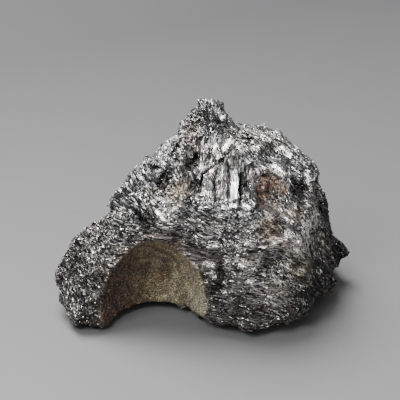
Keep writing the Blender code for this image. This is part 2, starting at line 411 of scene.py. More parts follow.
MARKS = {
    "plate_face": Mark((3.2, -7.6, 28.3), (0, -4, -4.4), 3.6, 3.4, 0, 0.9),
    "slash_on_the_arm": Mark((-8.2, -5.5, 27.4), (2.3, 1.6, 4), 2.9, 0.35, -0.3, 0.15),
    "crack_at_the_slash": Mark((-9, -3.8, 29.2), (3.3, -2.2, 1), 2.1, 0.3, -0.5, 0.3),
    "crack_over_the_slash": Mark((-5.5, -3.1, 33), (1.9, 1.5, 3.1), 2.1, 0.35, -0.5, 0.3),
    "gully_on_the_arm": Mark((-12, -9, 20.9), (4.8, -4.6, -2.4), 3.2, 0.6, -0.6, 0.35),
    "gully_foot": Mark((-9.8, -11.6, 19.4), (1, -0.2, 0.2), 2.4, 0.7, -0.4, 0.55),
    "crumbs_in_the_crevice": Mark((-1.4, -4.2, 31.1), (0.2, -1, -1.2), 1, 0.9, 0.8, 0.5),
    "crevice": Mark((-1.8, -3.6, 31.7), (0.7, -1.5, -1.8), 1.6, 0.3, -0.4, 0.2),
    "crevice_side": Mark((-1, -4.4, 30.8), (-0.5, -1.6, -2), 1.5, 0.3, -0.3, 0.2),
    "crevice_foot": Mark((-2.4, -4.8, 30.2), (1.5, -0.5, -1), 1.3, 0.3, -0.3, 0.3),
    "step_left": Mark((0.8, -6.1, 30.2), (3, 1.3, 1.8), 2, 0.22, -0.35, 0.25),
    "step_right": Mark((3.7, -4.8, 32.1), (2.5, 1.5, 2.5), 1.8, 0.2, -0.3, 0.35),
    "low_step": Mark((-2, -8.7, 26.6), (2.5, 1.2, 2), 1.8, 0.22, -0.4, 0.25),
    "low_step_end": Mark((-0.6, -7.4, 28.6), (0.4, 1.3, 2.1), 1.4, 0.3, -0.6, 0.2),
    "line_by_the_crevice": Mark((-1.8, -6.7, 27.5), (0, -2, -1.9), 1.7, 0.3, -0.6, 0.2),
    "line_in_the_plates": Mark((2, -8.5, 27), (0, -3, -2.5), 2.2, 0.25, -0.4, 0.3),
    "line_left_of_the_stripe": Mark((4.6, -7.5, 28.7), (0, -5, -5.7), 3.9, 0.3, -0.5, 0.25),
    "line_right_of_the_stripe": Mark((6.9, -7.6, 27.2), (0, -4.9, -4.9), 3.6, 0.3, -0.6, 0.2),
    "dark_band": Mark((7.9, -6.8, 28.1), (0, -3.7, -4.1), 2.8, 0.9, -0.3, 0.45),
    "notch_by_the_peak": Mark((8, -1.1, 34.8), (1, -0.4, -0.8), 1.5, 1, -0.5, 0.3),
    "dark_pocket": Mark((19.1, -3, 23.6), (0.6, 0.6, 1), 2.1, 0.8, -0.1, 0.45),
    "pocket_end": Mark((17.5, -3, 26.5), (0.1, -0.4, -0.9), 1.8, 0.7, -0.4, 0.45),
    "ledge_lip": Mark((9.6, -15, 18.4), (1, 0.15, -0.05), 2.6, 0.2, 0.12, 1.4),
    "ledge_crease": Mark((9.8, -15.1, 17.5), (1, 0.15, -0.05), 2.4, 0.3, -0.35, 0.25),
    "rim_block": Mark((1.1, -14.4, 14), (1, -0.2, -0.2), 1.2, 0.5, 0.2, 1.6),
    "low_rim_block": Mark((1.7, -15.3, 12.1), (0.8, -0.3, -0.6), 0.9, 0.5, 0.15, 1.2),
    "slot": Mark((3.3, -15.2, 12), (-0.3, -2.2, -4), 2.8, 0.55, -0.5, 0.28),
    "bright_stripe": Mark((5.7, -7.6, 28.3), (0.1, -3.9, -4), 3.2, 0.75, 0.15, 2.2),
    "fan_left": Mark((2.4, -4.2, 33), (0.8, -0.9, -1.7), 1.4, 0.7, 0.25, 1.7),
    "fan_right": Mark((4.6, -3.2, 34.2), (1.4, 2.2, 0.4), 1.6, 0.5, 0.2, 2.2),
    "fan_end": Mark((0.7, -3.4, 33.5), (0.4, -1.3, -0.5), 0.9, 0.4, 0.15, 1.1),
    "spot_by_the_peak": Mark((3.7, 0.9, 37.4), (0.4, -0.6, -0.7), 0.6, 0.6, 0.25, 2.5),
    "bright_block": Mark((8.3, -4.1, 31.1), (0.5, -0.4, -0.8), 0.8, 0.6, 0.35, 2.5),
    "slab_over_the_rust": Mark((14.2, -4.2, 28.5), (2.2, -0.4, -1.9), 1.8, 0.7, 0.3, 2.3),
    "small_slab": Mark((11.5, -4.9, 30), (0.9, -0.2, -0.4), 0.9, 0.4, 0.2, 2.2),
    "slab_on_the_shoulder": Mark((15.8, 0.1, 30.2), (1.6, -0.4, -1.5), 1.7, 0.65, 0.25, 2.3),
    "slab_at_the_crest": Mark((12, 0.4, 33.1), (0.8, -0.1, -0.8), 1, 0.3, 0.15, 2.2),
    "bright_flake_1": Mark((8, -10.2, 24.5), (1, -0.2, -0.5), 0.9, 0.5, 0.2, 2.4),
    "bright_flake_2": Mark((5.4, -10.6, 24.9), (1, 0, 0), 0.7, 0.5, 0.2, 2.2),
    "bright_flake_3": Mark((3.8, -10.6, 24.6), (1, 0, -0.2), 0.7, 0.4, 0.15, 2),
    "bright_flake_4": Mark((9.2, -9.5, 24.9), (0.7, -0.4, -0.5), 0.7, 0.35, 0.15, 2.2),
    "gold_flake_1": Mark((13, -6.8, 22.9), (0.8, -0.5, -0.3), 0.9, 0.35, 0.15, 2),
    "gold_flake_2": Mark((14.3, -8.2, 22.7), (0.8, -0.5, -0.2), 0.8, 0.3, 0.15, 2),
    "wedge_edge": Mark((15.6, -14.6, 14), (0.7, -0.25, -0.66), 1.3, 0.35, 0.2, 1.8),
    "wedge_face": Mark((17.9, -13.1, 13.4), (0.6, -0.35, -0.72), 1.2, 0.7, 0.1, 1.3),
    "dip_in_the_arm": Mark((-18.8, -4.5, 20.6), (0.6, -0.5, -0.6), 1.6, 1.3, -0.8, 0.75),
    "back_crack": Mark((-6, 12.5, 14), (1, 0.3, 2.2), 5, 0.35, -0.5, 0.3),
    "back_ledge": Mark((6, 15.5, 19.5), (1, 0, -0.3), 4, 0.4, -0.5, 0.35),
    "back_face": Mark((12, 15, 22), (0.3, -0.5, 1), 2.4, 1.3, 0.1, 1.2),
    "back_slab": Mark((4, 16.9, 16), (0.8, -0.1, 0.6), 1.8, 0.6, 0.2, 1.8),
    "back_arm_slab": Mark((-10, 9.2, 12), (0.9, 0.2, 0.3), 1.6, 0.6, 0.2, 1.6),
    "bluish_face": Mark((20, -1.9, 25.8), (0.2, -0.5, -0.84), 1.1, 0.8, 0.1, 1.3),
}

# Small bright crystal faces, their brightness partly painted highlight: where each is, and the way it runs.
# They share one size.
FLAKES = (
    ((1.3, -14.6, 14.2), (1, 0.2, 0)), ((7, -16.3, 15), (0.9, 0.1, -0.4)),
    ((7.5, -15.4, 15.8), (0.8, 0.2, -0.5)), ((9.8, -16.7, 14.4), (0.8, -0.1, -0.6)),
    ((11.4, -16.3, 13.1), (0.8, -0.1, -0.6)), ((13.7, -15.5, 13.7), (0.8, -0.2, -0.6)),
    ((4.9, -13.9, 18.2), (1, 0, 0.3)), ((6.2, -14.3, 18.2), (0.9, 0, -0.4)),
    ((8.7, -17.1, 12), (1, 0, -0.2)), ((4, -16, 10.7), (1, 0, -0.1)), ((12.6, -17.4, 8.6), (1, 0, -0.2)),
    ((16.3, -3.7, 26), (0.7, -0.3, -0.6)), ((17.6, -7.6, 22.1), (0.6, -0.3, -0.7)),
    ((16.7, -10.3, 21.2), (0.7, -0.3, -0.6)), ((21.2, -6.5, 19.4), (0.4, -0.3, -0.8)),
    ((15.4, -11.1, 19.2), (0.6, -0.2, -0.7)), ((-6.4, -0.1, 33.3), (0.9, -0.2, -0.4)),
    ((1.5, 1.5, 37), (0.8, -0.3, -0.5)), ((5.3, 0.6, 35), (0.9, -0.4, -0.1)),
    ((-10.8, -5.4, 25.7), (0.5, -0.4, -0.8)), ((-9, -9.8, 22.7), (0.6, -0.5, -0.6)),
    ((-7.9, -11, 22.2), (0.6, -0.5, -0.6)), ((-12.2, -3.7, 26.9), (0.5, -0.4, -0.8)),
    ((-23.4, -13.4, 6.4), (0.3, -0.5, -0.8)), ((-21.7, -8.6, 12.8), (0.6, -0.4, -0.7)),
    ((-2.7, -11.1, 20.9), (0.9, -0.3, -0.3)), ((-16.3, -3.4, 23.6), (0.7, -0.4, -0.6)),
    ((22.6, -9.8, 9), (0.6, -0.3, -0.7)), ((24.2, -5.1, 10.9), (0.3, 0.2, -0.9)),
    ((21.1, -12.7, 3.9), (0.6, -0.3, -0.7)), ((18.7, -16.1, 6.6), (0.9, -0.2, -0.3)),
)
FLAKE_SIZE = (0.55, 0.26, 0.15, 2.1)  # half length, half width, height and shine


class Stains(Enum):
    """The colours that weathering leaves on the crystal."""

    RUST = (0.44, 0.255, 0.16)
    TAN = (0.3, 0.222, 0.157)
    OCHRE = (0.3, 0.235, 0.135)
    RED_BROWN = (0.15, 0.098, 0.076)
    OLIVE = (0.2, 0.18, 0.115)


@dataclass(frozen=True)
class Patch:
    """A round place whose edge wanders."""

    centre: Point
    radius: float

    def share(self, points: Array, wander: Array) -> Array:
        """Give 1 on the patch and 0 away from it, for an edge that wanders by so much at each point."""
        distance = np.linalg.norm(points - np.array(self.centre), axis=1) / self.radius
        return smooth_step(*PATCH_EDGE, distance + wander)


@dataclass(frozen=True)
class Stain(Patch):
    """One weathered patch; with strength 1 it covers the crystal."""

    strength: float
    colour: Stains


@dataclass(frozen=True)
class ToneAndLightPatch(Patch):
    """One patch that shines more or less than the crystal around it, which counts as 1; partly painted light
    and shade.
    """

    shine: float


STAINS = (
    Stain((10, 17.5, 10), 3.5, 0.6, Stains.TAN),
    Stain((16, 15, 14), 3, 0.7, Stains.RUST),
    Stain((-18, 6, 8), 3, 0.5, Stains.OCHRE),
    Stain((12.6, -4.5, 25.8), 2.7, 0.9, Stains.RUST),
    Stain((12.2, -6.2, 24.2), 2, 0.8, Stains.RUST),
    Stain((13.6, -7.6, 22.8), 1.8, 0.8, Stains.TAN),
    Stain((12.6, -12, 20.2), 2.4, 0.85, Stains.TAN),
    Stain((16.6, -8.9, 21.6), 2.2, 0.8, Stains.TAN),
    Stain((-5, -7.6, 27.2), 2.4, 1, Stains.OCHRE),
    Stain((-3.1, -2.9, 34.4), 2.5, 0.6, Stains.RED_BROWN),
    Stain((-7.2, -12.2, 18), 3.2, 0.85, Stains.RED_BROWN),
    Stain((-0.2, -13.3, 16), 2.4, 0.95, Stains.RED_BROWN),
    Stain((18.2, -13, 12.4), 3.4, 0.85, Stains.OLIVE),
)

# Brighter and duller patches, partly the crystal's own tone and partly painted light and shade: where each
# is, how far it reaches, and its shine.
TONE_AND_LIGHT_PATCHES = (
    ((19.3, -4.2, 23.4), 2.8, 0.72), ((-13.2, -8.2, 20.8), 1.8, 0.65), ((-11.2, -9.4, 20.6), 2.2, 0.45),
    ((1.6, -15.2, 11), 3, 0.62), ((1.4, -16.2, 7.9), 3.4, 0.36), ((7.6, -1, 35), 2, 0.6),
    ((8, 4, 33), 4, 0.65), ((23.4, -5.5, 16.2), 3.2, 0.6), ((22, -10.4, 9.5), 5, 0.4),
    ((20.2, -15, 6), 4, 0.45), ((-27.3, -7, 12), 3.2, 0.5), ((-22.2, -16, 5.2), 3.2, 0.25),
    ((-0.2, -13.3, 16.3), 2.2, 0.42), ((13.5, -15.3, 14.7), 2, 0.62), ((13, -8.3, 22.8), 2.8, 0.55),
    ((13, -5.8, 24.4), 2, 0.6), ((-4.5, -5.5, 29.8), 2.6, 0.8), ((-0.4, -8, 27.6), 2.6, 0.5),
    ((-3.4, 1.5, 36.2), 3, 0.68), ((13.3, 1, 32.4), 2.2, 0.82), ((5.4, -4, 33.1), 2.2, 2.1),
    ((10.4, -4.3, 30.1), 1.8, 2), ((-5.6, -10.3, 23.4), 2.4, 2), ((-8.3, -9.3, 23.8), 2, 1.35),
    ((4.6, -10.9, 24.4), 2.5, 1.55), ((-8.4, -12.4, 18), 1.8, 1.4), ((18.8, -11.8, 16.2), 3.2, 2.1),
    ((9, -15.3, 16.6), 3.2, 1.55), ((13.3, -16.6, 12), 2.4, 1.25), ((15.9, -3.7, 26.6), 1.8, 2),
    ((-6.4, -3.7, 31.6), 3, 2.4), ((7.7, -4.5, 30.8), 1.8, 1.6), ((12.2, -12.2, 20.2), 2.4, 1.4),
    ((-29.6, -8, 9.2), 3.2, 0.8), ((-2, 12, 26), 4, 0.6), ((2, 18.5, 4), 5, 0.7), ((-12, 8, 17), 4, 0.65),
    ((17.5, 9, 24), 4, 1.3), ((15.9, -1.9, 28.6), 1.9, 0.5), ((8.8, -10, 24), 2.4, 0.65),
    ((5, -13.4, 20.2), 2.2, 0.65), ((15.7, -11.9, 18.9), 1.8, 1.25), ((19.2, -6.6, 21.6), 2.3, 0.6),
    ((-24.9, -9.3, 10.4), 3.2, 0.7), ((1.2, -1.6, 34.8), 2.6, 0.5), ((10.5, -5.1, 27.4), 1.8, 1.45),
    ((21.6, -6.5, 19.4), 2.8, 2.6), ((13.2, -17, 9.8), 2.8, 1.6), ((10.3, -14.9, 17.4), 2.4, 1.7),
    ((1.1, 2.7, 39.4), 2.8, 0.6), ((1.1, -9.8, 25.8), 1.8, 0.65), ((9, -13.1, 21.6), 1.8, 0.65),
    ((20.1, -8.4, 14.8), 2, 1.5), ((-20.6, -10.5, 13), 2.4, 0.75),
)


# ---- node trees


class Nodes:
    """A short way to write a shader's or a geometry's node tree."""

    def __init__(self, tree: NodeTree) -> None:
        """Keep the tree that nodes are added to."""
        self.tree = tree

    def fill(self, node: Node, inputs: dict) -> Node:
        """Fill a node's inputs.

        Args:
            node: The node.
            inputs: What goes in each input: a value, a colour, or another node's output.

        Returns:
            The same node.
        """
        for key, value in inputs.items():
            port = node.inputs[key]
            if isinstance(value, NodeSocket):
                self.tree.links.new(value, port)
            else:
                port.default_value = (*value, 1.0) if port.type == "RGBA" else value
        return node

    def add(self, kind: str, inputs: dict | None = None, **settings: object) -> Node:
        """Add a node.

        Args:
            kind: The node's type name.
            inputs: What goes in its inputs.
            settings: The node's own properties.

        Returns:
            The node.
        """
        node = self.tree.nodes.new(kind)
        for name, value in settings.items():
            setattr(node, name, value)
        return self.fill(node, inputs or {})

    def math(self, operation: str, *values: object, clamp: bool = False) -> NodeSocket:
        """Work out one number from others."""
        node = self.add("ShaderNodeMath", dict(enumerate(values)), operation=operation, use_clamp=clamp)
        return node.outputs[0]

    def times(self, *values: object) -> NodeSocket:
        """Multiply numbers."""
        return reduce(lambda product, value: self.math("MULTIPLY", product, value), values)

    def vector(self, operation: str, *values: object) -> NodeSocket:
        """Work out one vector from others; SCALE takes a vector and a number."""
        keys = (0, 3) if operation == "SCALE" else range(len(values))
        return self.add("ShaderNodeVectorMath", dict(zip(keys, values)), operation=operation).outputs[0]

    def join(self, *parts: object) -> NodeSocket:
        """Join three numbers in a vector."""
        return self.add("ShaderNodeCombineXYZ", dict(enumerate(parts))).outputs[0]

    def split(self, vector: object) -> bpy.types.bpy_prop_collection:
        """Split a vector in its three numbers."""
        return self.add("ShaderNodeSeparateXYZ", {0: vector}).outputs

    def mix(self, share: object, first: object, second: object, blend: str = "MIX") -> NodeSocket:
        """Mix two colours."""
        node = self.add("ShaderNodeMix", {0: share, 6: first, 7: second}, data_type="RGBA", blend_type=blend)
        return node.outputs[2]

    def tint(self, colour: object, by: object, share: object = 1.0) -> NodeSocket:
        """Multiply a colour by another colour or a number."""
        return self.mix(share, colour, by, "MULTIPLY")

    def range(self, value: object, source: Span = (0.0, 1.0), to: Span = (0.0, 1.0)) -> NodeSocket:
        """Map a value from one range to another, and keep it inside."""
        return self.add("ShaderNodeMapRange", dict(enumerate((value, *source, *to)))).outputs[0]

    def noise(self, place: object, scale: float, detail: float) -> NodeSocket:
        """Give noise from 0 to 1."""
        return self.add("ShaderNodeTexNoise", {"Vector": place, "Scale": scale, "Detail": detail}).outputs[0]

    def place(self) -> NodeSocket:
        """Give the place on the piece."""
        return self.add("ShaderNodeTexCoord").outputs["Object"]

    def attribute(self, name: str, output: str = "Fac") -> NodeSocket:
        """Read an attribute of the piece's mesh."""
        return self.add("ShaderNodeAttribute", attribute_name=name).outputs[output]

    def stained(self, crystal: NodeSocket, bright: NodeSocket, cover: NodeSocket) -> NodeSocket:
        """Lay the stain's colour, as bright as the crystal under it, over the crystal's."""
        colour = self.tint(self.attribute("stain", "Color"), self.range(bright, to=(0.25, 2.4)))
        return self.mix(cover, crystal, colour)


def new_material(name: str) -> tuple[Material, Nodes, Node]:
    """Make a material with a Principled shader.

    Args:
        name: The material's name.

    Returns:
        The material, its tree's helper and its shader.
    """
    material = bpy.data.materials.new(name)
    material.use_nodes = True
    return material, Nodes(material.node_tree), material.node_tree.nodes["Principled BSDF"]


# ---- finishes


@dataclass(frozen=True)
class Grains:
    """One size of crystal grain: how far grains lean, and their darkest and brightest tone.

    Part says which of a grain's random numbers gives its tone.
    """

    size: Point
    lean: float
    tone: Span
    part: int

    def cells(self, nodes: Nodes, place: object, feature: str = "F1") -> Node:
        """Split the skin in grains, laid out along place."""
        scaled = nodes.vector("DIVIDE", place, self.size)
        return nodes.add("ShaderNodeTexVoronoi", {"Vector": scaled, "Scale": 1.0}, feature=feature)


@dataclass(frozen=True)
class SkinFinish:
    """Broken crystal with fine fibres, over to weathered olive in the hollow.

    Between the places middle, from left to right, the hollow turns from red brown to olive, and between
    the places pale it turns pale, lower down further to the left.
    """

    silver: Colour = (0.84, 0.84, 0.84)
    black: Colour = (0.03, 0.03, 0.032)
    warm: Colour = (1.0, 0.93, 0.86)
    pink: Colour = (1.0, 0.84, 0.7)
    olive: Colour = (0.186, 0.15, 0.093)
    pale_olive: Colour = (0.28, 0.25, 0.177)
    orange_brown: Colour = (0.15, 0.085, 0.045)
    green: Colour = (0.97, 1.0, 0.8)
    red_brown: Colour = (0.092, 0.055, 0.04)
    flake: Grains = Grains((1.0, 1.0, 1.0), 0.25, (0.7, 1.15), 2)
    fibre: Grains = Grains((0.6, 0.5, 0.5), 0.45, (0.2, 1.6), 1)
    speck: Grains = Grains((0.85, 0.25, 0.25), 0.4, (-0.1, 2.14), 0)
    level: float = 0.45
    contrast: float = 1.6
    gap: float = 0.1
    gap_tone: Span = (0.35, 1.1)
    even_calm: float = 0.45
    crevice_painted_shade: float = 0.6
    warm_height: Span = (24.0, 10.0)
    warm_drift: float = 0.8
    pink_cover: float = 0.6
    pink_over: float = 0.92
    glint_over: float = 0.93
    glint_smooth: float = 0.12
    metallic: float = 0.86
    rough: Span = (0.3, 0.55)
    stain_rough: float = 0.2
    hollow_rough: float = 0.7
    grit_bump: float = 0.85
    grit_depth: float = 0.5
    middle: Span = (-16.0, -10.2)
    pale: Span = (-14.0, -3.0)
    pale_slant: float = 0.55
    crumb_tone: Span = (-0.1, 1.66)
    crumb_over: float = 0.9

    def part(self, nodes: Nodes, cells: Node, index: int) -> NodeSocket:
        """Read one of each cell's random numbers."""
        return nodes.add("ShaderNodeSeparateColor", {0: cells.outputs["Color"]}).outputs[index]

    def material(self) -> Material:
        """Build the finish.

        Returns:
            The material.
        """
        material, nodes, shader = new_material("nuummite_skin")
        grain = nodes.attribute("grain", "Vector")
        place = nodes.vector("SCALE", nodes.place(), 1.0 / MM)
        hollow = nodes.attribute("hollow")
        open_skin = nodes.math("SUBTRACT", 1.0, hollow)
        even = nodes.attribute("even")
        rugged = nodes.times(open_skin, nodes.range(even, to=(1.0, self.even_calm)))
        normal = nodes.add("ShaderNodeNewGeometry").outputs["Normal"]
        leaning = nodes.vector("ADD", normal, nodes.attribute("tilt", "Vector"))
        flakes = self.flake.cells(nodes, grain)
        fibres = self.fibre.cells(nodes, grain)
        specks = self.speck.cells(nodes, nodes.attribute("grain_mm", "Vector"))
        tones = []
        for grains, cells in ((self.flake, flakes), (self.fibre, fibres), (self.speck, specks)):
            centred = nodes.vector("SUBTRACT", cells.outputs["Color"], (0.5, 0.5, 0.5))
            lean = nodes.vector("SCALE", centred, nodes.times(rugged, grains.lean, 2.0))
            leaning = nodes.vector("ADD", leaning, lean)
            tones.append(nodes.range(self.part(nodes, cells, grains.part), to=grains.tone))

        edges = self.flake.cells(nodes, grain, "DISTANCE_TO_EDGE").outputs["Distance"]
        # Shine carries the skin's painted light and shade as well as its own tone.
        shine = nodes.attribute("shine")
        bright = nodes.times(*tones, nodes.range(edges, (0.0, self.gap), self.gap_tone), shine, self.level)
        bright = nodes.math("POWER", bright, self.contrast)
        glint = nodes.math("GREATER_THAN", self.part(nodes, fibres, 2), self.glint_over)
        glow = nodes.times(glint, nodes.math("MULTIPLY_ADD", shine, 0.3, 0.45))
        bright = nodes.math("MINIMUM", nodes.math("ADD", bright, glow), 1.0)
        crystal = nodes.mix(bright, self.black, self.silver)
        low = nodes.range(nodes.split(place)[2], self.warm_height)
        drift = nodes.range(nodes.noise(place, 0.16, 3.0), (0.45, 0.62), (0.0, self.warm_drift))
        crystal = nodes.tint(crystal, self.warm, nodes.math("ADD", drift, low, clamp=True))
        pink = nodes.math("GREATER_THAN", self.part(nodes, flakes, 0), self.pink_over)
        crystal = nodes.tint(crystal, self.pink, nodes.times(pink, self.pink_cover))
        # Painted shade: where the relief is sunk, the crystal is darkened towards black.
        crystal = nodes.mix(nodes.times(nodes.attribute("crevice"), self.crevice_painted_shade), crystal, self.black)
        patchy = nodes.range(nodes.noise(place, 2.2, 3.0), (0.36, 0.6), (0.15, 1.0))
        cover = nodes.math("MULTIPLY", nodes.attribute("stain", "Alpha"), patchy, clamp=True)
        crystal = nodes.stained(crystal, bright, cover)

        bare = nodes.times(open_skin, nodes.math("SUBTRACT", 1.0, nodes.times(cover, STAIN_DULLS)))
        rough = nodes.range(self.part(nodes, fibres, 0), to=self.rough)
        rough = nodes.math("SUBTRACT", rough, nodes.times(glint, self.glint_smooth))
        rough = nodes.math("ADD", rough, nodes.times(cover, self.stain_rough))
        grit = {
            "Strength": nodes.times(hollow, self.grit_bump),
            "Distance": self.grit_depth * MM,
            "Height": nodes.noise(place, 3.0, 4.0),
            "Normal": nodes.vector("NORMALIZE", leaning),
        }
        looks = {
            "Base Color": nodes.mix(hollow, crystal, self.weathered(nodes, place)),
            "Metallic": nodes.times(bare, self.metallic),
            "Roughness": nodes.math("MAXIMUM", rough, nodes.times(hollow, self.hollow_rough)),
            "Normal": nodes.add("ShaderNodeBump", grit).outputs[0],
        }
        nodes.fill(shader, looks)
        return material

    def weathered(self, nodes: Nodes, place: NodeSocket) -> NodeSocket:
        """Colour the hollow: red brown on its left, olive in the middle, pale on the lower right.

        Args:
            nodes: The material's tree.
            place: The place on the stone.

        Returns:
            The colour.
        """

        def noise(size: Point, detail: float) -> NodeSocket:
            """Give noise whose blots are as long as size, in millimetres."""
            return nodes.noise(nodes.vector("DIVIDE", place, size), 1.0, detail)

        x, _, z = nodes.split(place)
        drift = nodes.math("SUBTRACT", noise((4.0, 4.0, 4.0), 5.0), 0.5)
        across = nodes.math("ADD", x, nodes.times(drift, 10.0))
        middle = nodes.range(across, self.middle)
        right = nodes.range(nodes.math("SUBTRACT", across, nodes.times(z, self.pale_slant)), self.pale)
        blots = nodes.range(noise((1.3, 1.3, 1.3), 4.0), (0.5, 0.66), (0.0, 0.8))
        colour = nodes.mix(middle, self.red_brown, self.olive)
        colour = nodes.mix(blots, colour, self.orange_brown)
        colour = nodes.mix(right, colour, self.pale_olive)
        green = nodes.range(noise((2.4, 2.4, 2.4), 3.0), (0.48, 0.62), (0.0, 0.7))
        colour = nodes.tint(colour, self.green, nodes.times(middle, green))
        colour = nodes.tint(colour, nodes.range(noise((2.6, 0.55, 2.6), 3.0), (0.36, 0.62), (0.55, 1.3)))
        colour = nodes.tint(colour, nodes.range(noise((0.3, 0.24, 0.24), 3.0), (0.36, 0.64), (0.38, 1.62)))
        grains = nodes.add("ShaderNodeTexVoronoi", {"Vector": nodes.vector("SCALE", place, 2.1)})
        bright = nodes.times(nodes.math("GREATER_THAN", self.part(nodes, grains, 1), self.crumb_over), 3.0)
        tone = nodes.range(self.part(nodes, grains, 0), to=self.crumb_tone)
        crumbs = nodes.math("ADD", tone, bright)
        loose = nodes.math("SUBTRACT", 1.0, nodes.times(middle, 0.3))
        return nodes.mix(loose, colour, nodes.tint(colour, crumbs))


@dataclass(frozen=True)
class BladeFinish:
    """Single crystal blades, each with its own tone and fine lines along it."""

    silver: Colour = (0.86, 0.86, 0.86)
    black: Colour = (0.05, 0.05, 0.052)
    line: Point = (1.5, 4.0, 4.0)
    contrast: float = 2.0
    metallic: float = 0.88
    rough: Span = (0.48, 0.26)

    def material(self) -> Material:
        """Build the finish.

        Returns:
            The material.
        """
        material, nodes, shader = new_material("nuummite_blades")
        tone = nodes.attribute("tone")
        shift = nodes.vector("SCALE", (17.0, 31.0, 7.0), tone)
        place = nodes.vector("ADD", nodes.attribute("blade_place", "Vector"), shift)
        lines = nodes.noise(nodes.vector("MULTIPLY", place, self.line), 1.0, 3.0)
        bright = nodes.math("POWER", nodes.range(tone, to=(0.25, 1.0)), self.contrast)
        bright = nodes.times(bright, nodes.range(lines, (0.35, 0.62), (0.4, 1.0)))
        # The skin's shine carries its painted light and shade onto the blades.
        bright = nodes.math("MULTIPLY", bright, nodes.attribute("shine"), clamp=True)
        crystal = nodes.mix(bright, self.black, self.silver)
        patchy = nodes.range(tone, (0.1, 0.8), (1.0, 0.25))
        cover = nodes.math("MULTIPLY", nodes.attribute("stain", "Alpha"), patchy, clamp=True)
        bare = nodes.math("SUBTRACT", 1.0, nodes.times(cover, STAIN_DULLS))
        looks = {
            "Base Color": nodes.stained(crystal, bright, cover),
            "Metallic": nodes.times(bare, self.metallic),
            "Roughness": nodes.range(lines, (0.3, 0.7), self.rough),
        }
        nodes.fill(shader, looks)
        return material


# ---- pieces


